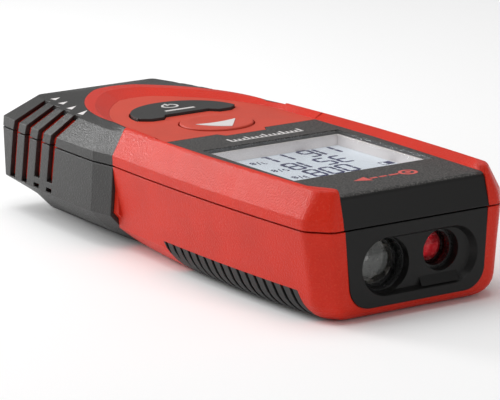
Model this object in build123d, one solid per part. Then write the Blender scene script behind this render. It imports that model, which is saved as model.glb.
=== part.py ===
from build123d import *
from math import cos, radians, sin
import os

os.makedirs("parts", exist_ok=True)

# Laser distance meter lying on its back: front (optics) faces -Y, display faces +Z.
# Millimetres, origin at the middle of the underside.

# ---- driving dimensions ----
FRONT = -57.5          # front face
REAR = 57.5            # rear reference face
TOP = 23.5             # top of the side rims
PART = 16.5            # parting plane between the upper and lower shells
BAND = 18.5            # top of the upright band above the parting line
GAP = 0.15             # half of the dark parting gap
TAIL = 11.2            # where the tail cover starts, at the parting plane
FLARE = 6.0            # length of the flared band behind it
LEAN = 0.17            # how far the cover's front edge runs back for each mm down
COVER = 0.9            # thickness of the tail cover
SOLE = 1.4             # thickness of the tail's floor
TUCK, TUCK_Z = 7.3, 6.3    # how far the lower edge is tucked in at the tail, and from what height
TRIM = 0.02            # skim that squares the rear reference face
ROUND, BANDS = 4.0, 6  # rounding of the lower edge and the bands that form it
DRAFT = 2.2            # how far the sides lean in from the parting plane to the bottom
EASE = 1.0             # length over which the front corners are rounded
WALL = 1.8             # shell wall
FACE = 22.4            # level of display panel and keypad
ROOF = 21.2            # underside of the bezel and the keypad skin
CEIL = 19.7            # underside of the upper shell roof
SEAT = 21.6            # underside of the display window
GLASS = 19.6           # top of the display glass
LAMP = 18.1            # underside of the display glass
BOARD = 16.4           # top of the main board

RX_X, RX_Z, RX_R = -5.9, 9.0, 4.9      # receiver bore
RX_TUBE, TX_TUBE = 5.4, 4.4            # outside of the lens tubes
TX_X, TX_Z, TX_R = 5.7, 9.9, 3.7       # transmitter bore
BTN_Y, BTN_R = 8.2, 7.0                # measure button
CLR_Y, CLR_R = 19.0, 10.8              # crescent button
CELL_R, CELL_L, CELL_X, CELL_Z = 5.25, 44.5, 5.6, 8.1
CELL_Y = 28.6
DOOR_Y0, DOOR_Y1 = 6.0, 51.4          # battery door: hinge axis and free end
DOOR_X = 11.7
BAY_X = 12.0           # half width of the door opening
SCREWS = ((13.3, -43.5), (12.9, -2.5))  # case screws on the +X side
WIN_X, WIN_Y0, WIN_Y1 = 14.8, -41.5, -10.8
GROOVES = (33.8, 39.4, 45.0, 50.6)     # middles of the grip grooves at the parting plane
GROOVE_W = 2.4
GROOVE_ENDS = (17.3, 16.6, 15.8, 14.8)  # how far in each groove reaches on top
MARKS = ((16.1, 30.8), (15.1, 37.0), (13.9, 42.6), (12.9, 47.6))   # light triangles on the tail


def box(x0, x1, y0, y1, z0, z1):
    """Box from its limits."""
    size = Box(x1 - x0, y1 - y0, z1 - z0)
    return Pos((x0 + x1) / 2, (y0 + y1) / 2, (z0 + z1) / 2) * size


def rod(axis, r, a, b, u, v):
    """Cylinder along an axis from a to b, centred on the other two coordinates."""
    turn = {"x": Rot(0, 90, 0), "y": Rot(90, 0, 0), "z": Rot(0, 0, 0)}[axis]
    mid = (a + b) / 2
    at = {"x": (mid, u, v), "y": (u, mid, v), "z": (u, v, mid)}[axis]
    return Pos(*at) * turn * Cylinder(r, b - a)


def toward(a, b):
    """Unit vector from one plan point to another."""
    dx, dy = b[0] - a[0], b[1] - a[1]
    n = (dx * dx + dy * dy) ** 0.5
    return dx / n, dy / n


def eased(a, c, b, t):
    """Arc (start, middle, end) rounding corner c between a and b, t from the corner."""
    u, v = toward(c, a), toward(c, b)
    w = toward((0, 0), (u[0] + v[0], u[1] + v[1]))
    half = (1 - (u[0] * v[0] + u[1] * v[1])) ** 0.5 / (1 + u[0] * v[0] + u[1] * v[1]) ** 0.5
    r = t * half
    k = (r * r + t * t) ** 0.5 - r
    return ((c[0] + u[0] * t, c[1] + u[1] * t), (c[0] + w[0] * k, c[1] + w[1] * k),
            (c[0] + v[0] * t, c[1] + v[1] * t))


def steps(path):
    """The (start, middle, end) pieces of a path; middle is None on a straight piece."""
    out = []
    last = path[0][:2]
    for n, step in enumerate(path[1:], 1):
        if isinstance(step[0], tuple):
            out.append((last, step[0], step[1]))
            last = step[1]
        elif len(step) == 3:
            after = path[n + 1][0] if isinstance(path[n + 1][0], tuple) else path[n + 1]
            start, mid, end = eased(last, step, after, step[2])
            out.append((last, None, start))
            out.append((start, mid, end))
            last = end
        else:
            out.append((last, None, step))
            last = step
    return out


def ring(z, path, back=None):
    """Closed outline at height z, the same left and right.

    The path runs along the +X side from front to back. An entry is a corner (x, y), a
    corner (x, y, ease) rounded over a length, or a pair (middle, end) for an arc. back
    is the y of the arc across the back.
    """
    right = steps(path)
    last = right[-1][2]
    edges = [Line((-path[0][0], path[0][1], z), (path[0][0], path[0][1], z))]
    for a, m, b in right:
        edges.append(edge_of(a, m, b, z, 1))
    if back is None:
        edges.append(Line((last[0], last[1], z), (-last[0], last[1], z)))
    else:
        edges.append(ThreePointArc((last[0], last[1], z), (0, back, z), (-last[0], last[1], z)))
    for a, m, b in reversed(right):
        edges.append(edge_of(b, m, a, z, -1))
    return Wire(edges)


def edge_of(a, m, b, z, s):
    """One line or arc of an outline, mirrored when s is -1."""
    start = (s * a[0], a[1], z)
    end = (s * b[0], b[1], z)
    if m is None:
        return Line(start, end)
    return ThreePointArc(start, (s * m[0], m[1], z), end)


def skin(*rings):
    """Ruled solid through outlines stacked in height."""
    return Part() + Solid.make_loft(list(rings), ruled=True)


def slab(z0, z1, path, back=None):
    """Straight extrusion of a symmetric outline."""
    return extrude(Face(ring(z0, path, back)), z1 - z0, (0, 0, 1))


def both(shape):
    """The shape and its mirror image across the middle plane."""
    return shape + mirror(shape, Plane.YZ)


def save(name, shape):
    """Write one node."""
    export_step(shape, f"parts/{name}.step")


# ---- outlines ----
def red_path(d, y=0.0, end=(21.1, TAIL)):
    """Side of the red body, drawn in by d, its front set back by y, to its end at the tail."""
    return [(10, FRONT + y), (17.5 - 0.7 * d, FRONT + y, EASE),
            (20.9 - d, -53.4 + 0.5 * y, EASE), ((21.85 - d, -19.5), end)]


def border(z):
    """Front edge of the lower tail cover at height z."""
    return TAIL + LEAN * (PART - z)


def tail_path(d, rear, corner, start=TAIL):
    """Side of the tail: it flares out behind the border, then closes in to the rear corner."""
    return [(21.1 - d, start), (22.0 - d, start + FLARE), ((21.5 - 1.1 * d, 36), (corner, rear - 1.2)),
            ((corner - 0.35, rear - 0.35), (corner - 1.2, rear))]


RIM = [(10, FRONT + 1.5), (15.9, FRONT + 1.5, EASE), (17.9, -53.3, EASE),
       ((18.95, -20), (18.2, TAIL))]
ARCH = [(17.6, TAIL), (16.9, TAIL + FLARE), ((13.4, 35), (5.0, 46.7)), ((4.5, 47.1), (4.0, 47.4))]
ARCH_BACK = 48.4
DISH = [(16.5, -0.4), (16.5, TAIL), ((12.0, 28), (3.6, 38.7))]
DISH_BACK = 39.3
DISH_TOP = [(19.0, -0.4), (17.9, TAIL), ((13.2, 35.0), (4.0, 47.6))]
PANEL = [(15.2, FRONT - 3), (15.2, FRONT + 3), (16.6, -20), (16.6, -0.3)]
SLOPE = [(15.2, FRONT + 2), (15.2, FRONT + 3), (15.9, -50.0), (16.6, -20), (16.6, -0.2)]
SLOPE_TOP = [(15.2, FRONT + 2), (15.3, FRONT + 3), (17.7, -50.0), (18.8, -20), (18.7, -0.2)]


def tail_hull_upper():
    """Outer form of the tail above the parting plane."""
    bevel = [(18.2, TAIL), (18.6, TAIL + FLARE), ((17.2, 36), (13.6, 53.4)),
             ((13.2, 54.3), (12.4, 54.7))]
    return skin(ring(PART, tail_path(0, REAR + TRIM, 20.2)),
                ring(BAND, tail_path(0.15, REAR + TRIM, 20.0)),
                ring(22.3, bevel),
                ring(TOP - 0.2, ARCH, ARCH_BACK))


def tail_hull_lower():
    """Outer form of the tail below the parting plane."""
    wall, edge = 6.6, 3.0
    b, c, d = border(wall), border(edge), border(0)
    tucked = [(17.6, c), (18.4, c + FLARE), ((17.9, 36), (15.5, 52.4)), ((15.1, 53.4), (14.2, 54.0))]
    floor = [(13.6, d), (13.8, d + FLARE), ((13.4, 36), (12.9, 51.2)), ((12.7, 51.9), (12.1, 52.3))]
    return skin(ring(PART, tail_path(0, REAR, 20.2)), ring(wall, tail_path(0.1, REAR, 20.1, b)),
                ring(edge, tucked), ring(0, floor))


def core_upper():
    """Red core under the upper tail cover, with the arch that comes up to the top."""
    c = COVER
    shoulder = [(17.9, TAIL), (18.1, TAIL + FLARE), ((17.0, 36), (13.5, 53.2)),
                ((13.1, 53.9), (12.4, 54.2))]
    body = skin(ring(PART, tail_path(c, REAR - c, 20.2 - c)),
                ring(BAND - 0.5, tail_path(c + 0.1, REAR - c, 20.1 - c)),
                ring(21.3, shoulder))
    return body + slab(20.0, TOP - 0.2, ARCH, ARCH_BACK)


def core_lower():
    """Red core under the lower tail cover."""
    c = COVER
    tucked = [(16.8, TAIL), (17.4, TAIL + FLARE), ((16.9, 36), (14.6, 51.8)), ((14.2, 52.6), (13.5, 53.1))]
    floor = [(13.6, TAIL), (13.7, TAIL + FLARE), ((13.3, 36), (13.0, 51.2)), ((12.8, 51.9), (12.2, 52.3))]
    return skin(ring(PART, tail_path(c, REAR - c, 20.2 - c)),
                ring(7.1, tail_path(c + 0.1, REAR - c, 20.1 - c)),
                ring(3.6, tucked), ring(SOLE, floor))


# ---- upper shell ----
def upper_outer():
    """Front part of the upper shell: bevelled sides rising to the rims."""
    body = skin(ring(PART + GAP, red_path(0)), ring(BAND, red_path(0.2, 0.3)), ring(TOP, RIM))
    top = body.faces().sort_by(Axis.Z)[-1]
    return fillet([e for e in top.edges() if e.center().Y < -52], 1.0)


def make_upper_shell():
    """Red upper shell: rims, dished keypad area, roof with openings, hollow inside."""
    shell = upper_outer() + core_upper()
    shell -= box(-30, 30, -70, 70, PART - 1, PART + GAP)
    shell -= skin(ring(FACE, DISH, DISH_BACK), ring(TOP + 0.4, DISH_TOP, DISH_BACK + 9.3))
    shell -= slab(ROOF, TOP + 2, DISH, DISH_BACK)
    shell -= slab(ROOF, TOP + 2, PANEL)
    shell -= skin(ring(FACE, SLOPE), ring(TOP + 0.02, SLOPE_TOP))
    shell -= box(-15.2, 15.2, FRONT - 5, FRONT + 2.6, PART - 2, TOP + 2)
    shell -= slab(PART - 1, 18.0, [(14.6, FRONT + 4.2), (18.6, -50), (19.4, -20), (18.0, TAIL),
                                   (17.0, 36), (16.0, 52.6)])
    shell -= slab(PART - 1, CEIL, [(14.6, FRONT + 4.2), (17.6, -50), (18.2, -20), (16.8, TAIL),
                                   (15.0, 36), (11.8, 50.5)])
    shell -= box(-WIN_X, WIN_X, WIN_Y0, WIN_Y1, CEIL - 1, ROOF + 1)
    shell -= rod("z", 2.6, CEIL - 1, ROOF + 1, 0, BTN_Y)
    shell -= rod("z", 2.6, CEIL - 1, ROOF + 1, 0, CLR_Y + 4.6)
    for x, y in SCREWS:
        shell += both(rod("z", 1.8, PART + GAP, CEIL + 0.5, x, y))
        shell -= both(rod("z", 0.9, PART - 1, 18.8, x, y))
    return shell


# ---- lower shell ----
def lower_skin(d):
    """Front part of the lower shell drawn in by d: drafted sides, rounded lower edge."""
    r = ROUND - d
    rings = []
    for n in range(BANDS + 1):
        a = radians(90 * n / BANDS)
        z = d + r * (1 - cos(a))
        draft = DRAFT * (1 - z / PART)
        turn = r * (1 - sin(a))
        end = (21.1 - d - TUCK * (1 - z / TUCK_Z) ** 1.2, border(z))
        rings.append(ring(z, red_path(d + draft + turn, d + 0.2 * draft + 0.8 * turn, end)))
    return skin(*rings, ring(PART - GAP, red_path(d, d, (21.1 - d, border(PART - GAP)))))


def plate_block(d, y0, y1, top):
    """Solid with the outline of the optics plate, drawn in by d."""
    w, b, z0, r = 15.1 - d, 14.2 - d, 2.1 + d, 4.2 - d / 2
    q = 0.3 * r
    edges = [Line((-w, y0, top), (-b, y0, z0 + r)),
             ThreePointArc((-b, y0, z0 + r), (-b + q, y0, z0 + q), (-b + r, y0, z0)),
             Line((-b + r, y0, z0), (b - r, y0, z0)),
             ThreePointArc((b - r, y0, z0), (b - q, y0, z0 + q), (b, y0, z0 + r)),
             Line((b, y0, z0 + r), (w, y0, top)),
             Line((w, y0, top), (-w, y0, top))]
    return extrude(Face(Wire(edges)), y1 - y0, (0, 1, 0))


def grip_blank():
    """Smooth blank of the +X grip strip, let into the rounded lower edge."""
    pts = [(15.5, -52.6, -1), (15.5, -49.2, 5.2), (15.5, -5.0, 5.2), (15.5, -9.8, -1)]
    zone = extrude(Face(Wire(Polyline(*pts, close=True).edges())), 10, (1, 0, 0))
    return (lower_skin(0) & zone) - lower_skin(1.0)


def make_lower_shell():
    """Red lower shell with the optics opening, the door opening and the screw posts."""
    shell = lower_skin(0) + core_lower()
    shell -= plate_block(0, FRONT - 1, FRONT + 3.0, PART + 1)
    shell -= slab(WALL, PART + 1, [(13.6, FRONT + 5.0), (15.4, -50), (15.8, -20), (12.9, TAIL),
                                   (12.6, 36), (12.5, DOOR_Y1 + 0.1)])
    shell -= slab(5.0, PART + 1, [(14.0, FRONT + 4.4), (17.6, -50), (18.4, -20), (17.4, TAIL),
                                  (16.4, 36), (15.0, 52.8)])
    shell -= plate_block(2.0, FRONT, FRONT + 6.0, PART + 1)
    shell -= rod("y", RX_TUBE + 0.1, FRONT, FRONT + 6.0, RX_X, RX_Z)
    shell -= box(-30, 30, -70, 70, PART - GAP, PART + 1)
    for x, y in SCREWS:
        shell += both(rod("z", 1.8, 1.0, PART - GAP, x, y))
        shell -= both(rod("z", 0.9, 1.0, PART + 1, x, y))
        shell -= both(rod("z", 1.4, -1.0, 5.6, x, y))
    shell -= box(-BAY_X, BAY_X, DOOR_Y0 - 1.6, DOOR_Y1 + 0.3, -1, WALL + 1)
    shell += both(box(BAY_X + 0.2, 15.6, DOOR_Y0 - 2.0, DOOR_Y0 + 2.0, 1.2, 3.4))
    shell -= rod("x", 0.6, -15.0, 15.0, DOOR_Y0, 1.5)
    shell -= both(grip_blank())
    shell -= box(-13, 13, -40, -8, -1, 0.3)
    return shell


def make_grips():
    """Ribbed grip strips filling the side pockets: slanted notches follow the rounding."""
    strip = grip_blank()
    floor = ROUND - 0.45
    for n in range(16):
        y = -48.6 + 2.75 * n
        side = 21.85 - 0.001 * (y + 19.5) ** 2 - DRAFT * (1 - ROUND / PART)
        pts = [(15.5, y - 2.2, -0.5), (15.5, y - 1.3, -0.5), (15.5, y + 1.9, 5.4), (15.5, y + 1.0, 5.4)]
        notch = extrude(Face(Wire(Polyline(*pts, close=True).edges())), 8, (1, 0, 0))
        notch -= rod("y", floor, y - 4, y + 4, side - ROUND, ROUND)
        notch -= box(15, side - ROUND + floor, y - 4, y + 4, ROUND, 6)
        strip -= notch
    return both(strip)


# ---- tail ----
def make_tail_upper():
    """Upper half of the black tail cover with its grip grooves."""
    cover = tail_hull_upper() - core_upper()
    cover -= box(-30, 30, -70, 70, PART - 1, PART + GAP)
    cover -= box(-30, 30, REAR, REAR + 1, PART - 1, BAND + 1)
    for y, x in zip(GROOVES, GROOVE_ENDS):
        cover -= both(groove(y, x, ((PART - 1, 0.3), (PART, 0), (BAND, -0.6), (22.6, -3.3))))
    return cover - mark_prisms()


def groove(y, x, line):
    """Cutter for one +X groove from x outwards; line gives (height, shift along y) up one side."""
    h = GROOVE_W / 2
    near = [(x, y - h + shift, z) for z, shift in line]
    far = [(x, y + h + shift, z) for z, shift in reversed(line)]
    return extrude(Face(Wire(Polyline(*near, *far, close=True).edges())), 10, (1, 0, 0))


def make_tail_lower():
    """Lower half of the tail cover, open underneath for the battery door."""
    cover = tail_hull_lower() - core_lower()
    cover -= box(-30, 30, -70, 70, PART - GAP, PART + 1)
    cover -= box(-BAY_X, BAY_X, 0, DOOR_Y1 + 0.3, -1, 3)
    for n, y in enumerate(GROOVES):
        low = 8.9 if n < 2 else 6.8
        cover -= both(groove(y, 15, ((low, 0.28 * (PART - low)), (PART + 1, -0.28))))
        if n < 2:
            cover -= both(groove(y, 15, ((6.8, 2.7), (7.7, 2.45))))
    return cover


def mark_prisms():
    """Four upright triangular prisms beside the grooves on the -X side."""
    marks = Part()
    for x, y in MARKS:
        tip = [(-x + 0.9, y, 21.9), (-x - 0.8, y - 1.2, 21.9), (-x - 0.8, y + 1.0, 21.9)]
        marks += extrude(Face(Wire(Polyline(*tip, close=True).edges())), 3, (0, 0, 1))
    return marks


# ---- front ----
def make_bezel():
    """Display panel that turns down over the nose, with the window seat."""
    b = FRONT + 2.6
    pts = [(0, FRONT, PART + GAP), (0, FRONT + 1.2, 21.2), (0, b, FACE), (0, -0.5, FACE),
           (0, -0.5, ROOF), (0, b, ROOF), (0, b, PART + GAP)]
    edges = [Line(pts[0], pts[1]), ThreePointArc(pts[1], (0, FRONT + 1.65, 22.05), pts[2])]
    edges += [Line(pts[i], pts[i + 1]) for i in range(2, 6)] + [Line(pts[6], pts[0])]
    side = Face(Wire(edges))
    body = extrude(side, 18, (1, 0, 0)) + extrude(side, 18, (-1, 0, 0))
    body = body & slab(PART, TOP, PANEL)
    body -= box(-WIN_X, WIN_X, WIN_Y0, WIN_Y1, ROOF - 1, TOP)
    return body - skin_bulge(0.1)


def skin_bulge(g):
    """Tab of the keypad skin that reaches into the display panel, grown by g."""
    pts = [(-5.4 - g, 0, ROOF), (-4.3 - g, -2.4 - g, ROOF), (4.3 + g, -2.4 - g, ROOF),
           (5.4 + g, 0, ROOF)]
    return extrude(Face(Wire(Polyline(*pts, close=True).edges())), FACE - ROOF, (0, 0, 1))


def stadium(x0, x1, z0, z1, y):
    """Outline with round ends in the front plane at depth y."""
    r = (z1 - z0) / 2
    zc = (z0 + z1) / 2
    edges = [Line((x0 + r, y, z0), (x1 - r, y, z0)),
             ThreePointArc((x1 - r, y, z0), (x1, y, zc), (x1 - r, y, z1)),
             Line((x1 - r, y, z1), (x0 + r, y, z1)),
             ThreePointArc((x0 + r, y, z1), (x0, y, zc), (x0 + r, y, z0))]
    return Wire(edges)


def make_optics_plate():
    """Black front plate: one shared recess with the receiver and transmitter bores."""
    plate = plate_block(0.05, FRONT + 0.1, FRONT + 3.0, PART - GAP)
    recess = Part() + Solid.make_loft([stadium(-11.6, 12.8, 3.8, 14.2, FRONT),
                                       stadium(-10.9, 11.9, 4.4, 13.6, FRONT + 1.3)], ruled=True)
    plate -= recess
    plate -= rod("y", RX_R, FRONT - 1, FRONT + 4, RX_X, RX_Z)
    plate -= rod("y", TX_R, FRONT - 1, FRONT + 4, TX_X, TX_Z)
    ramp = [(1.0, FRONT + 0.4, 4.2), (1.0, FRONT + 1.4, 6.0), (1.0, FRONT + 1.4, 4.2)]
    plate += extrude(Face(Wire(Polyline(*ramp, close=True).edges())), 8.0, (1, 0, 0))
    return plate


def barrel(x, z, r_out, r_front, r_back):
    """Stepped lens tube behind the optics plate."""
    tube = rod("y", r_out, FRONT + 3.0, FRONT + 14.0, x, z)
    tube -= rod("y", r_front, FRONT + 2.0, FRONT + 5.2, x, z)
    return tube - rod("y", r_back, FRONT + 2.0, FRONT + 15.0, x, z)


def lens(x, z, r, front, thick, bulge):
    """Plano-convex lens, its curved side to the front."""
    mid = front + bulge * 0.25
    edges = [ThreePointArc((0, front, 0), (r / 2, mid, 0), (r, front + bulge, 0)),
             Line((r, front + bulge, 0), (r, front + thick, 0)),
             Line((r, front + thick, 0), (0, front + thick, 0)),
             Line((0, front + thick, 0), (0, front, 0))]
    return Pos(x, 0, z) * revolve(Face(Wire(edges)), Axis.Y, 360)


def make_carrier():
    """Aluminium optics carrier: base plate and two saddle blocks."""
    base = box(-12.6, 12.6, FRONT + 7.0, FRONT + 29.0, WALL, 3.2)
    for y in (FRONT + 7.4, FRONT + 11.6):
        base += box(-12.2, 11.0, y, y + 1.8, WALL, 10.5)
    base += box(1.8, 10.2, FRONT + 18.0, FRONT + 21.0, WALL, 9.0)
    base -= rod("y", RX_TUBE, FRONT, FRONT + 16, RX_X, RX_Z)
    base -= rod("y", TX_TUBE, FRONT, FRONT + 14, TX_X, TX_Z)
    for x, y in SCREWS:
        base -= both(rod("z", 2.0, 0, 12, x, y))
    return base - rod("y", 3.2, FRONT + 13, FRONT + 30, TX_X, TX_Z)


# ---- keypad ----
def crescent(g, z0, z1):
    """Crescent outline of the clear button grown by g, between two heights."""
    c = CLR_Y + 0.1
    r = CLR_R + g
    half = [(0, c - g), (4.8, c - g), (6.2, c - 1.8 - g), (8.8, c - 1.8 - g)]
    disc = rod("z", r, z0, z1, 0, c) - box(-20, 20, c - 40, c - g, z0 - 1, z1 + 1)
    lobe = [(x, y, z0) for x, y in half[1:]] + [(r - 0.35, c - 0.5, z0), (r - 0.2, c + 0.5, z0),
                                               (4.8, c + 0.5, z0)]
    lobes = extrude(Face(Wire(Polyline(*lobe, close=True).edges())), z1 - z0, (0, 0, 1))
    return disc + both(lobes)


def make_keypad_skin():
    """Soft red skin around the two buttons, level with the display panel."""
    pad = slab(ROOF, FACE, DISH, DISH_BACK) + skin_bulge(0)
    pad -= rod("z", BTN_R + 0.3, ROOF - 1, FACE + 1, 0, BTN_Y)
    return pad - crescent(0.3, ROOF - 1, FACE + 1)


def make_measure_button():
    """Round measure button with a shallow dish and a plunger."""
    cap = fillet(rod("z", BTN_R, 21.85, 22.75, 0, BTN_Y).edges().group_by(Axis.Z)[-1], 0.3)
    cap -= Pos(0, BTN_Y, 22.45 + 50) * Sphere(50)
    return cap + rod("z", 2.2, 17.6, 22.2, 0, BTN_Y)


def make_measure_mark():
    """Light triangle pointing forward, a thin film on the dished top."""
    tri = [(-4.4, BTN_Y + 0.4, 22.3), (4.4, BTN_Y + 0.4, 22.3), (0, BTN_Y - 5.6, 22.3)]
    mark = extrude(Face(Wire(Polyline(*tri, close=True).edges())), 1.5, (0, 0, 1))
    mark -= Pos(0, BTN_Y, 22.55 + 50) * Sphere(50)
    return mark - make_measure_button()


def make_clear_button():
    """Dark crescent button with its plunger."""
    cap = crescent(0, 21.85, 22.9)
    return cap + rod("z", 2.2, 17.6, 22.0, 0, CLR_Y + 4.6)


def make_clear_mark():
    """Light clear and off symbols: a bar and a broken ring."""
    z0, z1 = 22.9, 23.0
    ring_c = (0, CLR_Y + 6.4)
    mark = rod("z", 1.7, z0, z1, *ring_c) - rod("z", 1.3, z0 - 1, z1 + 1, *ring_c)
    mark -= box(-0.55, 0.55, ring_c[1], ring_c[1] + 3, z0 - 1, z1 + 1)
    mark += box(-0.2, 0.2, ring_c[1] + 0.5, ring_c[1] + 2.2, z0, z1)
    return mark + box(-3.2, 3.2, CLR_Y + 2.2, CLR_Y + 3.0, z0, z1)


# ---- display ----
def inset(d, z0, z1):
    """Block with the outline of the window opening drawn in by d."""
    return box(-WIN_X + d, WIN_X - d, WIN_Y0 + d, WIN_Y1 - d, z0, z1)


def make_mask():
    """Light frame standing between the window and the display glass."""
    return inset(0.05, GLASS, SEAT) - inset(0.5, GLASS - 1, SEAT + 1)


# ---- battery bay ----
def make_tray():
    """Battery tray, open underneath."""
    tray = box(-12.4, 12.4, 3.4, 52.6, WALL + 0.1, 14.9)
    tray -= box(-11.6, 11.6, 4.5, 51.6, 0, 13.8)
    tray -= box(-13, 13, 3.9, 8.3, 0, 3.4)
    return tray - box(-13, 13, DOOR_Y1 - 0.1, 56, 0, 5.1)


def make_door():
    """Battery door with hinge knuckle along its front edge."""
    door = box(-DOOR_X, DOOR_X, DOOR_Y0, DOOR_Y1, 0.2, WALL)
    door += rod("x", 1.15, -DOOR_X, DOOR_X, DOOR_Y0, 1.5)
    door -= rod("x", 0.65, -20, 20, DOOR_Y0, 1.5)
    for i in range(5):
        door -= box(-5, 5, 44.0 + 1.3 * i, 44.5 + 1.3 * i, 0, 0.5)
    return door


def make_cells():
    """Two cells lying side by side."""
    y0, y1 = CELL_Y - CELL_L / 2, CELL_Y + CELL_L / 2
    cell = rod("y", CELL_R, y0, y1 - 1.0, CELL_X, CELL_Z)
    return both(cell + rod("y", 1.9, y1 - 1.0, y1, CELL_X, CELL_Z))


def make_springs():
    """Coiled contacts at the front of the bay."""
    coil = Part()
    for i in range(3):
        coil += Pos(CELL_X, 5.0 + 0.4 * i, CELL_Z) * Rot(90, 0, 0) * Torus(3.6 - 0.4 * i, 0.3)
    coil += box(CELL_X - 3.6, CELL_X + 3.6, 4.5, 5.0, CELL_Z - 0.6, CELL_Z + 0.6)
    return both(coil)


# ---- electronics ----
def make_board():
    """Main board above the optics and the battery tray."""
    board = box(-11.0, 11.0, -50, 47, 15.2, BOARD)
    return board - both(rod("z", 1.2, 14, 18, 9.2, -47.5) + rod("z", 1.2, 14, 18, 9.2, 44))


def make_chips():
    """Packages on the upper side of the board."""
    spots = [(-8.0, -46.0, 5, 5), (2.0, -46.5, 4, 3), (-7.5, -6.0, 4, 5), (7.5, -6.0, 5, 4),
             (-7.0, 33.0, 6, 6), (6.0, 36.0, 4, 7), (-7.0, 42.0, 3, 5)]
    chips = Part()
    for x, y, w, l in spots:
        chips += box(x - w / 2, x + w / 2, y - l / 2, y + l / 2, BOARD, 17.3)
    return chips


def make_seal():
    """Dark seal showing in the parting gap."""
    outer = [(15.6, FRONT + 3.2), (19.6, -52.4), ((20.9, -19.5), (20.0, TAIL)),
             (20.2, TAIL + FLARE), ((19.8, 36), (18.9, REAR - 1.3))]
    inner = [(15.2, FRONT + 4.4), (18.6, -51.6), ((19.8, -19.5), (18.8, TAIL)),
             (18.8, TAIL + FLARE), ((18.2, 36), (17.4, REAR - 2.6))]
    seal = slab(PART - GAP + 0.02, PART + GAP - 0.02, outer) - slab(PART - 1, PART + 1, inner)
    return seal


save("upper_shell", make_upper_shell())
save("lower_shell", make_lower_shell())
save("side_grips", make_grips())
save("tail_cover_upper", make_tail_upper())
save("tail_cover_lower", make_tail_lower())
save("tail_marks", mark_prisms() & tail_hull_upper())
save("parting_seal", make_seal())
save("front_bezel", make_bezel())
save("optics_plate", make_optics_plate())
save("receiver_barrel", barrel(RX_X, RX_Z, RX_TUBE, 4.7, 4.2))
save("receiver_lens", lens(RX_X, RX_Z, 4.7, FRONT + 3.3, 1.9, 1.1))
save("transmitter_barrel", barrel(TX_X, TX_Z, TX_TUBE, 3.1, 2.7))
save("transmitter_lens", lens(TX_X, TX_Z, 3.1, FRONT + 3.3, 1.9, 0.9))
save("optics_carrier", make_carrier())
save("laser_module", rod("y", 3.2, FRONT + 14, FRONT + 24, TX_X, TX_Z)
     + rod("y", 2.2, FRONT + 24, FRONT + 26, TX_X, TX_Z))
save("detector_board", box(-11.4, -0.6, FRONT + 24, FRONT + 25.2, 3.2, 14.6))
save("receiver_detector", rod("y", 3.0, FRONT + 21, FRONT + 24, RX_X, RX_Z))
save("display_window", inset(0.02, SEAT, FACE - 0.1))
save("display_mask", make_mask())
save("display_glass", inset(0.1, LAMP, GLASS))
save("display_backlight", box(-13.6, 13.6, -37.6, -12.4, BOARD, LAMP))
save("zebra_strips", both(box(1.0, 11.0, -40.0, -38.4, BOARD, LAMP)))
save("keypad_skin", make_keypad_skin())
save("measure_button", make_measure_button())
save("measure_mark", make_measure_mark())
save("clear_button", make_clear_button())
save("clear_mark", make_clear_mark())
save("switch_domes", rod("z", 3.0, BOARD, 17.0, 0, BTN_Y) + rod("z", 3.0, BOARD, 17.0, 0, CLR_Y + 4.6))
save("battery_door", make_door())
save("door_pad", box(-9, 9, 12, 46, WALL, 2.5))
save("door_catch", box(-1.7, 1.7, 49.4, 50.4, WALL, 4.2) + box(-1.7, 1.7, 50.4, 50.8, 3.2, 4.0))
save("hinge_pin", rod("x", 0.6, -15.0, 15.0, DOOR_Y0, 1.5))
save("battery_tray", make_tray())
save("battery_cells", make_cells())
save("contact_springs", make_springs())
save("contact_plates", both(box(2.0, 9.2, 50.9, 51.4, 4.5, 11.7)))
save("main_board", make_board())
save("board_chips", make_chips())
save("shield_can", box(-9, 9, -26, -7, 12.2, 15.2))
save("buzzer", rod("z", 4.0, 11.6, 15.2, 6.0, -1.8))
save("case_screws", both(sum((rod("z", 1.3, 3.8, 5.6, x, y) + rod("z", 0.9, 5.6, 18.8, x, y)
                              for x, y in SCREWS), Part())))
save("rating_label", box(-12.9, 12.9, -39.9, -8.1, 0.15, 0.3))
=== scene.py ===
import math

import bmesh
import bpy
from bpy.props import FloatProperty, FloatVectorProperty, PointerProperty, StringProperty
from mathutils import Matrix, Vector


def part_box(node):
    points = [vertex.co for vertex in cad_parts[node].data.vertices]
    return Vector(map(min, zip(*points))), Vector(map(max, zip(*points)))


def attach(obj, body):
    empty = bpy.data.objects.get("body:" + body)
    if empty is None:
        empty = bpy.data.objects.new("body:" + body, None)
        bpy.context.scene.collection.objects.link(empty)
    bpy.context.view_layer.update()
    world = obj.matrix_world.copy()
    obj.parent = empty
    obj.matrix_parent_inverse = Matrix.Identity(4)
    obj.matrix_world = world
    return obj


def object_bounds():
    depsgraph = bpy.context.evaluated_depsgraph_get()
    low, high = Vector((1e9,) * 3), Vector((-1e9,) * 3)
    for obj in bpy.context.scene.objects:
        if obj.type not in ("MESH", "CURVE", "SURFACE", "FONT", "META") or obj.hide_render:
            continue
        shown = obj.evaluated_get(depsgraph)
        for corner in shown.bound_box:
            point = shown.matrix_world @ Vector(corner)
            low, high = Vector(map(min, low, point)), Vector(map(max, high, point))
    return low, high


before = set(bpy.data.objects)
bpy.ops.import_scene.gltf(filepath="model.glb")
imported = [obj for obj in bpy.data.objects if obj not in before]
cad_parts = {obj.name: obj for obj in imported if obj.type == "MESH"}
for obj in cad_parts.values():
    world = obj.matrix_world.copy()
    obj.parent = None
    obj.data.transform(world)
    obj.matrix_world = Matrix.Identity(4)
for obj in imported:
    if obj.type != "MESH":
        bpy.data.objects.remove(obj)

CAD_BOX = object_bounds()

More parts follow.
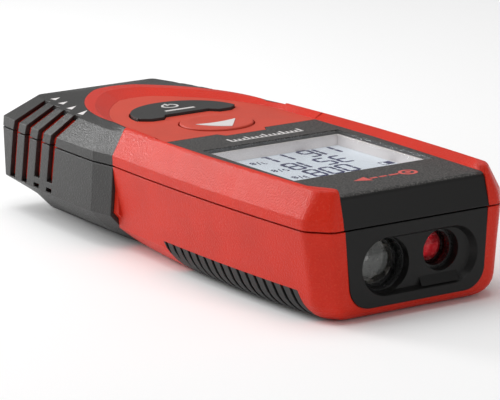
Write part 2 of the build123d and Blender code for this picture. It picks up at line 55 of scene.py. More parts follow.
bl_info = {
    "name": "Laser Distance Meter",
    "version": (1, 0, 0),
    "blender": (4, 5, 0),
    "location": "View3D > Sidebar > Meter",
    "description": "Finishes, printed marks, display segments and studio for a pocket laser distance meter",
    "category": "Object",
}

MM = 0.001
WINDOW_LOW, WINDOW_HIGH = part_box("display_window")
WINDOW_MIDDLE = (WINDOW_LOW[1] + WINDOW_HIGH[1]) / 2
GLASS_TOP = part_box("display_glass")[1][2]
PANEL_REAR, PANEL_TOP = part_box("front_bezel")[1][1:]
CELL_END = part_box("battery_cells")[1][1]


# ---- sizes and colours a user may change ----
def colour(title, about, value):
    """A colour setting."""
    return FloatVectorProperty(name=title, description=about, default=value, subtype="COLOR", size=3,
                               min=0.0, max=1.0)


def length(title, about, value):
    """A size setting, in metres."""
    return FloatProperty(name=title, description=about, default=value, unit="LENGTH", min=0.0)


def power(title, about, value):
    """A light's strength, in watts."""
    return FloatProperty(name=title, description=about, default=value, unit="POWER", min=0.0)


def digits(title, value):
    """The digits that one row of the display shows."""
    return StringProperty(name=title, description="Digits of the " + title.lower(), default=value)


class MeterColours(bpy.types.PropertyGroup):
    """Colours of the meter's finishes."""
    shell: colour("Shell red", "Moulded shell", (0.62, 0.021, 0.006))
    # Light flecks of the shell: partly the moulded grain, partly painted glints put into the colour.
    shell_fleck_and_glint: colour("Shell fleck", "Light fleck in the moulded grain of the shell", (0.85, 0.14, 0.07))
    skin: colour("Keypad red", "Soft keypad and its round button", (0.58, 0.045, 0.018))
    black: colour("Case black", "Smooth black plastic", (0.006, 0.0057, 0.0054))
    panel: colour("Panel black", "Grained display panel", (0.024, 0.023, 0.022))
    rubber: colour("Tail rubber", "Soft tail cover", (0.018, 0.0175, 0.0165))
    grip: colour("Grip rubber", "Side grips and seal", (0.012, 0.012, 0.0115))
    print_white: colour("Light print", "Printed marks", (0.72, 0.69, 0.68))
    frame_grey: colour("Display frame", "Light frame round the display", (0.90, 0.84, 0.82))
    glass_grey: colour("Display grey", "Reflective display glass", (0.80, 0.87, 0.95))
    ink: colour("Segment ink", "Dark display segments", (0.004, 0.002, 0.085))
    nose_red: colour("Nose mark red", "Printed mark near the nose", (0.72, 0.10, 0.085))


class MeterDisplay(bpy.types.PropertyGroup):
    """Sizes of the display segments and the printed marks."""
    digit_width: length("Digit width", "Width of one display digit", 2.3 * MM)
    digit_height: length("Digit height", "Height of one display digit", 5.3 * MM)
    digit_pitch: length("Digit pitch", "Distance from one digit to the next", 3.45 * MM)
    stroke: length("Stroke", "Width of a display segment", 0.66 * MM)
    film: length("Film", "Thickness of a segment or a print", 0.03 * MM)
    upper_row: digits("Upper row", "11611")
    middle_row: digits("Middle row", "3518")
    lower_row: digits("Lower row", "008")


class MeterStudio(bpy.types.PropertyGroup):
    """Light strengths and the camera's lens."""
    key: power("Key light", "Power of the large light", 4.3)
    top: power("Top light", "Power of the light overhead", 4.4)
    back: power("Back light", "Power of the near light behind the tail", 0.45)
    fill: power("Fill light", "Power of the light at the front", 0.5)
    sky: FloatProperty(name="Sky", description="Strength of the even surrounding light", default=0.34)
    lens: FloatProperty(name="Lens", description="Focal length in millimetres", default=225.5, min=1.0)


# ---- node helpers ----
def new_finish(title):
    """An empty node material with its shader."""
    mat = bpy.data.materials.new(title)
    mat.use_nodes = True
    tree = mat.node_tree
    tree.nodes.clear()
    out = tree.nodes.new("ShaderNodeOutputMaterial")
    shader = tree.nodes.new("ShaderNodeBsdfPrincipled")
    tree.links.new(shader.outputs["BSDF"], out.inputs["Surface"])
    return mat, tree, shader


def spot(tree, stretch=(1.0, 1.0, 1.0)):
    """Object coordinates, squeezed by stretch."""
    coord = tree.nodes.new("ShaderNodeTexCoord")
    place = tree.nodes.new("ShaderNodeMapping")
    place.inputs["Scale"].default_value = stretch
    tree.links.new(coord.outputs["Object"], place.inputs["Vector"])
    return place.outputs["Vector"]


def noise(tree, vector, size, detail=2.0, rough=0.5):
    """Noise whose features are about size metres across."""
    node = tree.nodes.new("ShaderNodeTexNoise")
    node.inputs["Scale"].default_value = 1.0 / size
    node.inputs["Detail"].default_value = detail
    node.inputs["Roughness"].default_value = rough
    tree.links.new(vector, node.inputs["Vector"])
    return node.outputs["Fac"]


def spread(tree, value, low, high, to_low, to_high, smooth=True):
    """Maps a value from one range to another."""
    node = tree.nodes.new("ShaderNodeMapRange")
    node.interpolation_type = "SMOOTHSTEP" if smooth else "LINEAR"
    node.inputs["From Min"].default_value = low
    node.inputs["From Max"].default_value = high
    node.inputs["To Min"].default_value = to_low
    node.inputs["To Max"].default_value = to_high
    tree.links.new(value, node.inputs["Value"])
    return node.outputs["Result"]


def blend_colours(tree, factor, first, second):
    """Mix of two colours; each is a colour or a socket."""
    node = tree.nodes.new("ShaderNodeMix")
    node.data_type = "RGBA"
    tree.links.new(factor, node.inputs[0])
    for value, socket in ((first, node.inputs[6]), (second, node.inputs[7])):
        if isinstance(value, bpy.types.NodeSocket):
            tree.links.new(value, socket)
        else:
            socket.default_value = (*value[:3], 1.0)
    return node.outputs[2]


def combine(tree, first, second, way="MULTIPLY"):
    """Arithmetic on two values; each is a number or a socket."""
    node = tree.nodes.new("ShaderNodeMath")
    node.operation = way
    for value, socket in ((first, node.inputs[0]), (second, node.inputs[1])):
        if isinstance(value, bpy.types.NodeSocket):
            tree.links.new(value, socket)
        else:
            socket.default_value = value
    return node.outputs[0]


def relief(tree, shader, height, depth, round_edges=0.0):
    """Fine surface relief, over edges rounded by round_edges."""
    bump = tree.nodes.new("ShaderNodeBump")
    bump.inputs["Strength"].default_value = 1.0
    bump.inputs["Distance"].default_value = depth
    tree.links.new(height, bump.inputs["Height"])
    if round_edges:
        edge = tree.nodes.new("ShaderNodeBevel")
        edge.samples = 4
        edge.inputs["Radius"].default_value = round_edges
        tree.links.new(edge.outputs["Normal"], bump.inputs["Normal"])
    tree.links.new(bump.outputs["Normal"], shader.inputs["Normal"])


def shade(value, factor):
    """A colour made lighter or darker."""
    return tuple(min(1.0, c * factor) for c in value[:3])


def moulded(title, base, fleck=None, fleck_share=0.3, grain=0.28, depth=0.02, rough=0.45, edge=0.25,
            specular=0.5, tone=0.12, coat=0.0):
    """Moulded plastic or rubber: cloudy tone, spark-eroded grain, flecks and softened edges; on some finishes
    the flecks are partly painted glints and painted highlights.

    grain, depth and edge are in millimetres.
    """
    mat, tree, shader = new_finish(title)
    at = spot(tree)
    cloud = spread(tree, noise(tree, at, 9 * MM, 3.0), 0.3, 0.7, 0.0, 1.0)
    fine = noise(tree, at, grain * MM, 2.0, 0.6)
    body = blend_colours(tree, cloud, shade(base, 1.0 - tone), shade(base, 1.0 + tone))
    if fleck is not None:
        bright = spread(tree, fine, 0.5, 0.72, 0.0, fleck_share)
        body = blend_colours(tree, bright, body, fleck)
    tree.links.new(body, shader.inputs["Base Color"])
    tree.links.new(spread(tree, fine, 0.3, 0.7, rough - 0.06, rough + 0.08), shader.inputs["Roughness"])
    shader.inputs["Specular IOR Level"].default_value = specular
    shader.inputs["Coat Weight"].default_value = coat
    shader.inputs["Coat Roughness"].default_value = 0.08
    relief(tree, shader, fine, depth * MM, edge * MM)
    return mat


def metal(title, base, rough=0.3, stretch=(1.0, 1.0, 12.0)):
    """Bare metal with fine drawn lines and a light tarnish."""
    mat, tree, shader = new_finish(title)
    lines = noise(tree, spot(tree, stretch), 0.9 * MM, 3.0, 0.6)
    tarnish = spread(tree, noise(tree, spot(tree), 3 * MM, 4.0), 0.4, 0.7, 0.0, 0.5)
    tree.links.new(blend_colours(tree, tarnish, base, shade(base, 0.72)), shader.inputs["Base Color"])
    tree.links.new(spread(tree, lines, 0.3, 0.7, rough - 0.08, rough + 0.12), shader.inputs["Roughness"])
    shader.inputs["Metallic"].default_value = 1.0
    relief(tree, shader, lines, 0.01 * MM, 0.15 * MM)
    return mat


def clear(title, tint, rough=0.03, let_through=0.9, gloss=1.0):
    """Thin clear plastic or glass: what is behind shows through, with a gloss on top."""
    mat, tree, shader = new_finish(title)
    haze = noise(tree, spot(tree), 2.5 * MM, 3.0)
    tree.links.new(spread(tree, haze, 0.3, 0.7, rough, rough + 0.05), shader.inputs["Roughness"])
    tree.links.new(blend_colours(tree, haze, tint, shade(tint, 0.9)), shader.inputs["Base Color"])
    shader.inputs["Metallic"].default_value = 1.0
    through = tree.nodes.new("ShaderNodeBsdfTransparent")
    weight = tree.nodes.new("ShaderNodeLayerWeight")
    weight.inputs["Blend"].default_value = 0.5
    slant = combine(tree, weight.outputs["Facing"], 5.0, "POWER")
    amount = spread(tree, slant, 0.0, 1.0, 1.0 - let_through, gloss, smooth=False)
    mixed = tree.nodes.new("ShaderNodeMixShader")
    tree.links.new(amount, mixed.inputs["Fac"])
    tree.links.new(through.outputs["BSDF"], mixed.inputs[1])
    tree.links.new(shader.outputs["BSDF"], mixed.inputs[2])
    tree.links.new(mixed.outputs["Shader"], tree.nodes["Material Output"].inputs["Surface"])
    return mat


def dress(mat, *names):
    """Gives CAD nodes a finish."""
    for name in names:
        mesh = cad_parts[name].data
        if not mesh.materials:
            mesh.materials.append(mat)
        for slot in range(len(mesh.materials)):
            mesh.materials[slot] = mat


# ---- mesh helpers ----
def piece(title, shape, mat):
    """Turns a bmesh into a piece that rides on the housing."""
    bmesh.ops.remove_doubles(shape, verts=shape.verts, dist=1e-7)
    bmesh.ops.recalc_face_normals(shape, faces=shape.faces)
    mesh = bpy.data.meshes.new(title)
    shape.to_mesh(mesh)
    shape.free()
    mesh.materials.append(mat)
    obj = bpy.data.objects.new(title, mesh)
    bpy.context.scene.collection.objects.link(obj)
    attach(obj, "housing")


def bar(shape, start, end, width, z, film, point=0.0):
    """A flat bar from start to end, its ends drawn to points of that length."""
    a, b = Vector((*start, 0)), Vector((*end, 0))
    along = (b - a).normalized()
    side = Vector((-along.y, along.x, 0)) * width / 2
    outline = [a - side, b - side, b + side, a + side]
    if point:
        tip = along * point
        outline = [a, a + tip - side, b - tip - side, b, b - tip + side, a + tip + side]
    plate(shape, outline, z, film)


def plate(shape, outline, z, film):
    """A flat plate with this outline, standing on z."""
    low = [shape.verts.new((p[0], p[1], z)) for p in outline]
    face = shape.faces.new(low)
    lifted = bmesh.ops.extrude_face_region(shape, geom=[face])
    raised = [v for v in lifted["geom"] if isinstance(v, bmesh.types.BMVert)]
    bmesh.ops.translate(shape, verts=raised, vec=(0, 0, film))


def disc(shape, centre, radius, hole, z, film, sides=32):
    """A flat disc, or a ring where hole is above zero."""
    at = Matrix.Translation((centre[0], centre[1], z))
    made = bmesh.ops.create_circle(shape, cap_ends=not hole, radius=radius, segments=sides, matrix=at)
    if hole:
        edges = list({e for v in made["verts"] for e in v.link_edges})
        inner = bmesh.ops.extrude_edge_only(shape, edges=edges)
        verts = [v for v in inner["geom"] if isinstance(v, bmesh.types.BMVert)]
        grow = Matrix.Diagonal((hole / radius, hole / radius, 1.0, 1.0))
        bmesh.ops.transform(shape, matrix=at @ grow @ at.inverted(), verts=verts)
    faces = list({f for v in made["verts"] for f in v.link_faces})
    lifted = bmesh.ops.extrude_face_region(shape, geom=faces)
    raised = [v for v in lifted["geom"] if isinstance(v, bmesh.types.BMVert)]
    bmesh.ops.translate(shape, verts=raised, vec=(0, 0, film))


def turned(shape, profile, centre, sides=48):
    """Closed solid of revolution about an axis along Y through centre; profile is (radius, y) pairs."""
    verts = [shape.verts.new((centre[0] + r, y, centre[1])) for r, y in profile]
    edges = [shape.edges.new((a, b)) for a, b in zip(verts, verts[1:] + verts[:1])]
    bmesh.ops.spin(shape, geom=verts + edges, cent=(centre[0], 0, centre[1]), axis=(0, 1, 0),
                   angle=math.tau, steps=sides, use_merge=True)


# ---- display ----
SEGMENTS = {"0": "abcdef", "1": "bc", "2": "abged", "3": "abgcd", "4": "fgbc", "5": "afgcd",
            "6": "afgedc", "7": "abc", "8": "abcdefg", "9": "abcdfg"}
SEGMENT_GAP = 0.07 * MM  # how far a segment's tip stands off the corner of its digit
SEGMENT_TIP = 0.4        # length of a segment's pointed end, as a share of its stroke
# Rows: setting, middle of the first digit, rise towards the tail, and the fraction beside them.
ROWS = (("upper_row", 12.9 * MM, 11.85 * MM, "7", "8"),
        ("middle_row", 8.3 * MM, 4.6 * MM, "5", "8"),
        ("lower_row", 5.1 * MM, -2.15 * MM, "3", "8"))
# The square point after a row, its place from the row's middle and half its side.
POINT_X, POINT_RISE, POINT_HALF = -2.6 * MM, 2.3 * MM, 0.3 * MM
# A fraction's place from the row's middle, and the size of its digits.
FRACTION_X, FRACTION_RISE = -5.7 * MM, -1.2 * MM
SMALL_WIDTH, SMALL_HEIGHT, SMALL_STROKE = 0.62 * MM, 1.55 * MM, 0.34 * MM
# Dashes of the beam mark, as start and end along X in millimetres.
BEAM_DASHES = ((2.6, 0.6), (0.1, -1.4), (-1.9, -3.4))


def digit(shape, sign, x, y, width, height, stroke, film):
    """One digit centred on (x, y); the reader sits at the tail, so its right is -X and its top is -Y."""
    w, h = width / 2, height / 2
    lines = {"a": ((w, -h), (-w, -h)), "g": ((w, 0), (-w, 0)), "d": ((w, h), (-w, h)),
             "f": ((w, -h), (w, 0)), "e": ((w, 0), (w, h)),
             "b": ((-w, -h), (-w, 0)), "c": ((-w, 0), (-w, h))}
    for name in SEGMENTS[sign]:
        (x0, y0), (x1, y1) = lines[name]
        if y0 == y1:
            ends = (x + x0 - SEGMENT_GAP, y + y0), (x + x1 + SEGMENT_GAP, y + y1)
        else:
            ends = (x + x0, y + y0 + SEGMENT_GAP), (x + x1, y + y1 - SEGMENT_GAP)
        bar(shape, *ends, stroke, GLASS_TOP, film, point=stroke * SEGMENT_TIP)


def fraction(shape, upper, lower, y, film):
    """A small fraction beside a row: two digits and the slanted bar between them."""
    x, step = FRACTION_X, 1.0 * MM
    for sign, side in ((upper, 1), (lower, -1)):
        digit(shape, sign, x + side * step, y - side * 0.35 * MM, SMALL_WIDTH, SMALL_HEIGHT, SMALL_STROKE,
              film)
    bar(shape, (x + 0.25 * MM, y + 1.1 * MM), (x - 0.25 * MM, y - 1.1 * MM), 0.2 * MM, GLASS_TOP, film)


def box_outline(x0, y0, x1, y1):
    """Corners of an upright rectangle."""
    return [(x0, y0), (x1, y0), (x1, y1), (x0, y1)]


class MESH_OT_meter_digits(bpy.types.Operator):
    """Adds the display's digits, fractions and battery sign."""
    bl_idname = "mesh.meter_digits"
    bl_label = "Display digits"

    def execute(self, context):
        sizes, colours = context.scene.meter_display, context.scene.meter_colours
        mat = moulded("segment_ink", colours.ink, grain=0.3, depth=0.002, rough=0.6, edge=0.0,
                      specular=0.02)
        film = sizes.film
        for n, (setting, first, rise, upper, lower) in enumerate(ROWS, 1):
            shape = bmesh.new()
            row = WINDOW_MIDDLE + rise
            for i, sign in enumerate(getattr(sizes, setting)):
                digit(shape, sign, first - i * sizes.digit_pitch, row, sizes.digit_width,
                      sizes.digit_height, sizes.stroke, film)
            y = row + POINT_RISE
            plate(shape, box_outline(POINT_X - POINT_HALF, y - POINT_HALF, POINT_X + POINT_HALF,
                                     y + POINT_HALF), GLASS_TOP, film)
            fraction(shape, upper, lower, row + FRACTION_RISE, film)
            piece(f"display_row_{n}", shape, mat)

        full, empty, tall, line = 1.5 * MM, 1.0 * MM, 2.2 * MM, 0.15 * MM
        x, y = 12.6 * MM, WINDOW_LOW[1] + 10.8 * MM
        shape = bmesh.new()
        plate(shape, box_outline(x, y, x + full, y + tall), GLASS_TOP, film)
        bar(shape, (x - empty, y), (x - empty, y + tall), line, GLASS_TOP, film)
        for side in (y, y + tall):
            bar(shape, (x, side), (x - empty, side), line, GLASS_TOP, film)
        piece("display_battery_sign", shape, mat)
        return {"FINISHED"}


class MESH_OT_meter_marks(bpy.types.Operator):
    """Adds the printed scale behind the display and the beam mark near the nose."""
    bl_idname = "mesh.meter_marks"
    bl_label = "Printed marks"

    def execute(self, context):
        sizes, colours = context.scene.meter_display, context.scene.meter_colours
        z, film = PANEL_TOP, sizes.film
        white = moulded("panel_print", colours.print_white, grain=0.2, depth=0.004, rough=0.5, edge=0.0)
        shape = bmesh.new()
        ticks, first, pitch = 17, 9.0 * MM, 0.95 * MM
        base = PANEL_REAR - 7.2 * MM
        for i in range(ticks):
            tall = (2.3 if i % 4 == 0 else 1.35) * MM
            x = first - pitch * i
            bar(shape, (x, base), (x, base + tall), 0.42 * MM, z, film)
        last = first - pitch * (ticks - 1)
        bar(shape, (first + 0.2 * MM, base), (last - 0.2 * MM, base), 0.4 * MM, z, film)
        piece("panel_scale_mark", shape, white)

        red = moulded("nose_print", colours.nose_red, grain=0.2, depth=0.004, rough=0.5, edge=0.0)
        shape = bmesh.new()
        y, source = WINDOW_LOW[1] - 6.6 * MM, 4.6 * MM
        disc(shape, (source, y), 1.75 * MM, 1.15 * MM, z, film)
        disc(shape, (source, y), 0.55 * MM, 0.0, z, film)
        for x0, x1 in BEAM_DASHES:
            bar(shape, (x0 * MM, y), (x1 * MM, y), 0.6 * MM, z, film)
        head, tip, half = -3.8 * MM, -6.8 * MM, 1.5 * MM
        plate(shape, [(head, y - half), (head, y + half), (tip, y)], z, film)
        piece("nose_beam_mark", shape, red)
        return {"FINISHED"}


class MATERIAL_OT_meter_display(bpy.types.Operator):
    """Gives the display its clear window, frame, glass and backlight."""
    bl_idname = "material.meter_display"
    bl_label = "Display finishes"

    def execute(self, context):
        colours = context.scene.meter_colours
        dress(clear("window_clear", (0.9, 0.92, 0.93), let_through=0.97, gloss=0.45), "display_window")
        dress(moulded("frame_grey", colours.frame_grey, grain=0.4, depth=0.004, rough=0.5, tone=0.05),
              "display_mask")
        dress(moulded("display_glass", colours.glass_grey, fleck=shade(colours.glass_grey, 1.15), grain=0.15,
                      depth=0.002, rough=0.4, tone=0.04, edge=0.0), "display_glass")
        dress(moulded("backlight_white", (0.7, 0.7, 0.68), grain=0.5, rough=0.6), "display_backlight")
        dress(moulded("contact_rubber", (0.03, 0.03, 0.03), fleck=(0.25, 0.25, 0.25), grain=0.3),
              "zebra_strips")
        return {"FINISHED"}


# ---- case ----
class MATERIAL_OT_meter_shells(bpy.types.Operator):
    """Gives the two red shells their moulded finish."""
    bl_idname = "material.meter_shells"
    bl_label = "Shell finishes"

    def execute(self, context):
        colours = context.scene.meter_colours
        # The shell's light flecks are partly its grain and partly painted glints.
        dress(moulded("shell_red", colours.shell, fleck=colours.shell_fleck_and_glint, fleck_share=0.12, grain=0.34,
                      depth=0.13, rough=0.34, edge=0.3, specular=0.22, tone=0.05),
              "upper_shell", "lower_shell")
        return {"FINISHED"}


class MATERIAL_OT_meter_rubber(bpy.types.Operator):
    """Gives the tail cover, the grips and the seal their soft finish, and the tail its light marks."""
    bl_idname = "material.meter_rubber"
    bl_label = "Rubber finishes"

    def execute(self, context):
        colours = context.scene.meter_colours
        dress(moulded("tail_rubber", colours.rubber, fleck=shade(colours.rubber, 4.5), fleck_share=0.35,
                      grain=0.36, depth=0.11, rough=0.42, edge=0.3, specular=0.45),
              "tail_cover_upper", "tail_cover_lower")
        dress(moulded("grip_rubber", colours.grip, fleck=shade(colours.grip, 3.0), fleck_share=0.3,
                      grain=0.24, depth=0.02, rough=0.55), "side_grips", "parting_seal")
        dress(moulded("tail_print", colours.print_white, grain=0.2, depth=0.004, rough=0.5, tone=0.04,
                      edge=0.0), "tail_marks")
        return {"FINISHED"}


class MATERIAL_OT_meter_front(bpy.types.Operator):
    """Gives the display panel its grained top and smooth nose, and the optics plate its smooth black."""
    bl_idname = "material.meter_front"
    bl_label = "Front finishes"

    def execute(self, context):
        colours = context.scene.meter_colours
        mat, tree, shader = new_finish("panel_black")
        at = spot(tree)
        fine = noise(tree, at, 0.34 * MM, 2.0, 0.6)
        apart = tree.nodes.new("ShaderNodeSeparateXYZ")
        tree.links.new(at, apart.inputs["Vector"])
        grained = spread(tree, apart.outputs["Z"], PANEL_TOP - 0.5 * MM, PANEL_TOP - 0.2 * MM, 0.0, 1.0)
        flecks = spread(tree, fine, 0.45, 0.62, 0.0, 0.8)
        top = blend_colours(tree, flecks, colours.panel, shade(colours.panel, 5.0))
        tree.links.new(blend_colours(tree, grained, colours.black, top), shader.inputs["Base Color"])
        matt = spread(tree, fine, 0.3, 0.7, 0.46, 0.6)
        tree.links.new(spread(tree, combine(tree, matt, grained), 0.0, 0.6, 0.34, 0.55),
                       shader.inputs["Roughness"])
        relief(tree, shader, combine(tree, fine, grained), 0.06 * MM, 0.25 * MM)
        shader.inputs["Specular IOR Level"].default_value = 0.35
        dress(mat, "front_bezel")
        dress(moulded("plate_black", colours.black, grain=0.5, depth=0.004, rough=0.38, edge=0.2,
                      specular=0.25), "optics_plate")
        return {"FINISHED"}


class MATERIAL_OT_meter_keys(bpy.types.Operator):
    """Gives the keypad, its two buttons and their marks their finishes."""
    bl_idname = "material.meter_keys"
    bl_label = "Key finishes"

    def execute(self, context):
        colours = context.scene.meter_colours
        # The keypad's light flecks are partly its grain and partly painted glints.
        dress(moulded("keypad_red", colours.skin, fleck=shade(colours.shell_fleck_and_glint, 0.95), fleck_share=0.3,
                      grain=0.22, depth=0.014, rough=0.5, edge=0.25, tone=0.05),
              "keypad_skin", "measure_button")
        dress(moulded("button_black", colours.rubber, fleck=shade(colours.rubber, 4.0), fleck_share=0.3,
                      grain=0.22, depth=0.016, rough=0.5, edge=0.25), "clear_button")
        dress(moulded("button_print", colours.print_white, grain=0.2, depth=0.003, rough=0.5,
                      tone=0.04, edge=0.0), "measure_mark", "clear_mark")
        dress(metal("dome_steel", (0.62, 0.61, 0.58)), "switch_domes")
        return {"FINISHED"}


# ---- optics ----
def funnel(title, lens, outline, mat):
    """A closed funnel just behind a lens; outline is (radius, depth) pairs in millimetres."""
    low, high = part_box(lens)
    y = high[1] + 0.1 * MM
    shape = bmesh.new()
    turned(shape, [(r * MM, y + depth * MM) for r, depth in outline],
           ((low[0] + high[0]) / 2, (low[2] + high[2]) / 2))
    piece(title, shape, mat)


class MESH_OT_meter_optics(bpy.types.Operator):
    """Adds the light funnels behind the lenses, their colours carrying painted reflections and painted
    highlights, and finishes the lenses and barrels.
    """
    bl_idname = "mesh.meter_optics"
    bl_label = "Optics"

    def execute(self, context):
        dress(moulded("barrel_black", (0.012, 0.012, 0.012), grain=0.5, depth=0.004, rough=0.3),
              "receiver_barrel", "transmitter_barrel")
        dress(clear("receiver_glass", (0.9, 0.92, 0.9), let_through=0.94), "receiver_lens")
        dress(clear("transmitter_glass", (0.7, 0.02, 0.03), let_through=0.72), "transmitter_lens")
        # A dark funnel; its large light grey patches are painted reflections, standing for the glassy
        # highlights inside the lens.
        grey = moulded("funnel_grey", (0.03, 0.027, 0.024), fleck=(0.30, 0.28, 0.25), fleck_share=0.9,
                       grain=2.6, depth=0.8, rough=0.12, edge=0.0, specular=0.9, coat=1.0)
        funnel("receiver_funnel", "receiver_lens",
               ((4.15, 0), (3.9, 0), (2.2, 4.5), (0.0001, 5.0), (0.0001, 5.4), (2.5, 5.0)), grey)
        # The red is the funnel's own colour; its pink flecks are painted highlights.
        red_funnel_painted_highlights = moulded("funnel_red", (0.75, 0.03, 0.045), fleck=(1.0, 0.35, 0.35), fleck_share=0.8, grain=0.7,
                       depth=0.25, rough=0.15, edge=0.0, specular=0.9, coat=1.0)
        funnel("transmitter_funnel", "transmitter_lens",
               ((2.65, 0), (2.3, 0), (1.4, 0.9), (0.0001, 1.3), (0.0001, 1.8), (2.4, 1.2)), red_funnel_painted_highlights)
        dress(metal("carrier_alloy", (0.55, 0.55, 0.56), rough=0.4), "optics_carrier")
        dress(metal("module_brass", (0.62, 0.45, 0.2), rough=0.28), "laser_module")
        return {"FINISHED"}


# ---- battery bay, fasteners and electronics ----
class MATERIAL_OT_meter_battery(bpy.types.Operator):
    """Finishes the battery door, its hinge, pad and catch, the tray, the cells and their contacts."""
    bl_idname = "material.meter_battery"
    bl_label = "Battery finishes"

    def execute(self, context):
        colours = context.scene.meter_colours
        dress(moulded("door_black", colours.black, fleck=shade(colours.black, 4.0), fleck_share=0.3,
                      grain=0.24, depth=0.02, rough=0.48), "battery_door", "door_catch")
        dress(moulded("tray_black", shade(colours.black, 1.4), grain=0.5, depth=0.008, rough=0.5),
              "battery_tray")
        dress(moulded("pad_foam", (0.05, 0.05, 0.052), fleck=(0.14, 0.14, 0.14), grain=0.35, depth=0.12,
                      rough=0.9), "door_pad")
        dress(metal("pin_steel", (0.62, 0.62, 0.6), stretch=(12.0, 1.0, 1.0)), "hinge_pin")
        dress(metal("spring_steel", (0.66, 0.65, 0.62)), "contact_springs", "contact_plates")
        mat, tree, shader = new_finish("cell_wrap")
        at = spot(tree)
        apart = tree.nodes.new("ShaderNodeSeparateXYZ")
        tree.links.new(at, apart.inputs["Vector"])
        band = spread(tree, apart.outputs["Y"], CELL_END - 12 * MM, CELL_END - 11.8 * MM, 0.0, 1.0)
        cap = spread(tree, apart.outputs["Y"], CELL_END - 1.3 * MM, CELL_END - 1.2 * MM, 0.0, 1.0)
        cloud = noise(tree, at, 4 * MM, 2.0)
        wrap = blend_colours(tree, cloud, (0.03, 0.05, 0.09), (0.05, 0.08, 0.14))
        wrap = blend_colours(tree, band, wrap, (0.55, 0.42, 0.2))
        tree.links.new(blend_colours(tree, cap, wrap, (0.6, 0.6, 0.58)), shader.inputs["Base Color"])
        tree.links.new(cap, shader.inputs["Metallic"])
        tree.links.new(spread(tree, cloud, 0.3, 0.7, 0.22, 0.32), shader.inputs["Roughness"])
        dress(mat, "battery_cells")
        return {"FINISHED"}


class MATERIAL_OT_meter_boards(bpy.types.Operator):
    """Finishes the circuit boards, their parts, the screws and the blank label."""
    bl_idname = "material.meter_boards"
    bl_label = "Board finishes"

    def execute(self, context):
        mat, tree, shader = new_finish("board_green")
        at = spot(tree)
        tracks = tree.nodes.new("ShaderNodeTexBrick")
        tracks.inputs["Scale"].default_value = 300.0
        tracks.inputs["Color1"].default_value = (0.010, 0.085, 0.035, 1.0)
        tracks.inputs["Color2"].default_value = (0.016, 0.12, 0.05, 1.0)
        tracks.inputs["Mortar"].default_value = (0.03, 0.2, 0.09, 1.0)
        tracks.inputs["Mortar Size"].default_value = 0.06
        tree.links.new(at, tracks.inputs["Vector"])
        tree.links.new(tracks.outputs["Color"], shader.inputs["Base Color"])
        sheen = spread(tree, noise(tree, at, 1.2 * MM), 0.3, 0.7, 0.25, 0.45)
        tree.links.new(sheen, shader.inputs["Roughness"])
        relief(tree, shader, tracks.outputs["Fac"], 0.02 * MM)
        dress(mat, "main_board", "detector_board")
        dress(moulded("chip_black", (0.02, 0.02, 0.022), fleck=(0.08, 0.08, 0.08), grain=0.2, rough=0.5),
              "board_chips", "buzzer")
        dress(metal("can_tin", (0.7, 0.7, 0.68), rough=0.32), "shield_can")
        dress(metal("detector_nickel", (0.6, 0.59, 0.55), rough=0.3), "receiver_detector")
        dress(metal("screw_steel", (0.33, 0.33, 0.34), rough=0.35), "case_screws")
        dress(moulded("label_silver", (0.42, 0.42, 0.43), grain=0.6, depth=0.004, rough=0.35, tone=0.04),
              "rating_label")
        return {"FINISHED"}


# ---- studio ----
MIDDLE = (0.0, 0.0, 0.01)
# Lights: setting, size, place and the point each one faces.
LIGHTS = (("key", 1.2, (-0.80, 0.75, 0.62), MIDDLE),
          ("top", 0.8, (-0.10, 0.10, 0.85), MIDDLE),
          ("back", 0.1, (-0.15, 0.28, 0.14), (-0.02, 0.03, 0.02)),
          ("fill", 0.1, (0.16, -0.72, 0.28), MIDDLE))
CAMERA_PLACE = (-0.3008, -0.4865, 0.1442)
CAMERA_TURN, CAMERA_DROP, CAMERA_ROLL = math.radians(-31.47), math.radians(13.92), math.radians(-1.48)
CAMERA_SHIFT = (0.043, 0.069)
SENSOR_WIDTH = 36.0


def soft_light(title, watts, size, place, target):
    """A square area light aimed at a point."""
    data = bpy.data.lights.new(title, "AREA")
    data.energy = watts
    data.size = size
    obj = bpy.data.objects.new(title, data)
    obj.location = place
    obj.rotation_euler = (Vector(target) - Vector(place)).to_track_quat("-Z", "Y").to_euler()
    bpy.context.scene.collection.objects.link(obj)


def pale_floor():
    """A wide sheet of white paper under the meter."""
    shape = bmesh.new()
    bmesh.ops.create_grid(shape, x_segments=2, y_segments=2, size=6.0)
    bmesh.ops.translate(shape, verts=shape.verts, vec=(0, 0, CAD_BOX[0][2] - 0.2 * MM))
    mesh = bpy.data.meshes.new("floor")
    shape.to_mesh(mesh)
    shape.free()
    mat, tree, shader = new_finish("floor_paper")
    tone = blend_colours(tree, noise(tree, spot(tree), 0.4, 2.0), (0.93, 0.93, 0.93), (0.96, 0.96, 0.96))
    tree.links.new(tone, shader.inputs["Base Color"])
    shader.inputs["Roughness"].default_value = 0.9
    mesh.materials.append(mat)
    floor = bpy.data.objects.new("floor", mesh)
    bpy.context.scene.collection.objects.link(floor)


def white_sky(strength):
    """An even white surrounding light."""
    world = bpy.data.worlds.new("studio_sky")
    world.use_nodes = True
    sky = world.node_tree.nodes["Background"]
    sky.inputs["Color"].default_value = (1.0, 1.0, 1.0, 1.0)
    sky.inputs["Strength"].default_value = strength
    bpy.context.scene.world = world


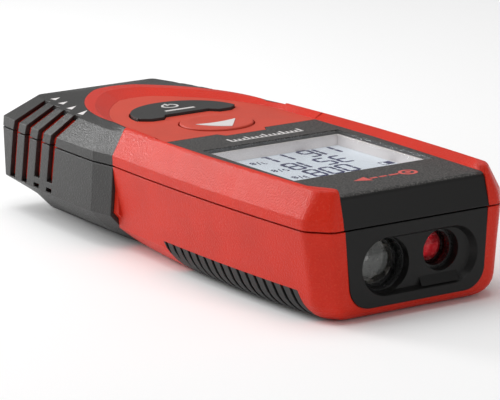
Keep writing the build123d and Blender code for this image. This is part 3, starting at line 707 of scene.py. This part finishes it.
def still_camera(lens):
    """A long lens low beyond the nose on the -X side, looking along the case, a little rolled."""
    data = bpy.data.cameras.new("camera")
    data.lens = lens
    data.sensor_width = SENSOR_WIDTH
    data.shift_x, data.shift_y = CAMERA_SHIFT
    data.clip_start = 10 * MM
    level = math.cos(CAMERA_DROP)
    ahead = Vector((-math.sin(CAMERA_TURN) * level, math.cos(CAMERA_TURN) * level, -math.sin(CAMERA_DROP)))
    right = ahead.cross(Vector((0, 0, 1))).normalized()
    up = right.cross(ahead)
    tipped = right * math.cos(CAMERA_ROLL) + up * math.sin(CAMERA_ROLL)
    top = up * math.cos(CAMERA_ROLL) - right * math.sin(CAMERA_ROLL)
    camera = bpy.data.objects.new("camera", data)
    pose = Matrix((tipped, top, -ahead)).transposed().to_4x4()
    camera.matrix_world = Matrix.Translation(CAMERA_PLACE) @ pose
    bpy.context.scene.collection.objects.link(camera)
    bpy.context.scene.camera = camera


class SCENE_OT_meter_studio(bpy.types.Operator):
    """Adds the pale floor, the soft lights and the camera."""
    bl_idname = "scene.meter_studio"
    bl_label = "Studio"

    def execute(self, context):
        studio = context.scene.meter_studio
        pale_floor()
        white_sky(studio.sky)
        for setting, size, place, target in LIGHTS:
            soft_light(f"{setting}_light", getattr(studio, setting), size, place, target)
        still_camera(studio.lens)
        context.scene.view_settings.view_transform = "Standard"
        context.scene.view_settings.look = "None"
        return {"FINISHED"}


# ---- add-on ----
PIECES = (MATERIAL_OT_meter_shells, MATERIAL_OT_meter_rubber, MATERIAL_OT_meter_front,
          MATERIAL_OT_meter_keys, MATERIAL_OT_meter_display, MESH_OT_meter_digits, MESH_OT_meter_marks,
          MESH_OT_meter_optics, MATERIAL_OT_meter_battery, MATERIAL_OT_meter_boards,
          SCENE_OT_meter_studio)


class VIEW3D_PT_meter(bpy.types.Panel):
    """Lists the meter's pieces and settings."""
    bl_idname = "VIEW3D_PT_meter"
    bl_label = "Laser Distance Meter"
    bl_space_type = "VIEW_3D"
    bl_region_type = "UI"
    bl_category = "Meter"

    def draw(self, context):
        layout = self.layout
        for group in ("meter_colours", "meter_display", "meter_studio"):
            settings = getattr(context.scene, group)
            box = layout.box()
            for name in settings.bl_rna.properties.keys():
                if name not in ("rna_type", "name"):
                    box.prop(settings, name)
        for operator in PIECES:
            layout.operator(operator.bl_idname)


CLASSES = (MeterColours, MeterDisplay, MeterStudio, *PIECES, VIEW3D_PT_meter)


def register():
    """Adds the classes and the scene's settings."""
    for cls in CLASSES:
        bpy.utils.register_class(cls)
    bpy.types.Scene.meter_colours = PointerProperty(type=MeterColours)
    bpy.types.Scene.meter_display = PointerProperty(type=MeterDisplay)
    bpy.types.Scene.meter_studio = PointerProperty(type=MeterStudio)


def unregister():
    """Takes the classes and the settings away again."""
    del bpy.types.Scene.meter_studio
    del bpy.types.Scene.meter_display
    del bpy.types.Scene.meter_colours
    for cls in reversed(CLASSES):
        bpy.utils.unregister_class(cls)


def main():
    """Builds the finished meter and its studio."""
    register()
    for operator in PIECES:
        group, name = operator.bl_idname.split(".")
        getattr(getattr(bpy.ops, group), name)()


if __name__ == "__main__":
    main()
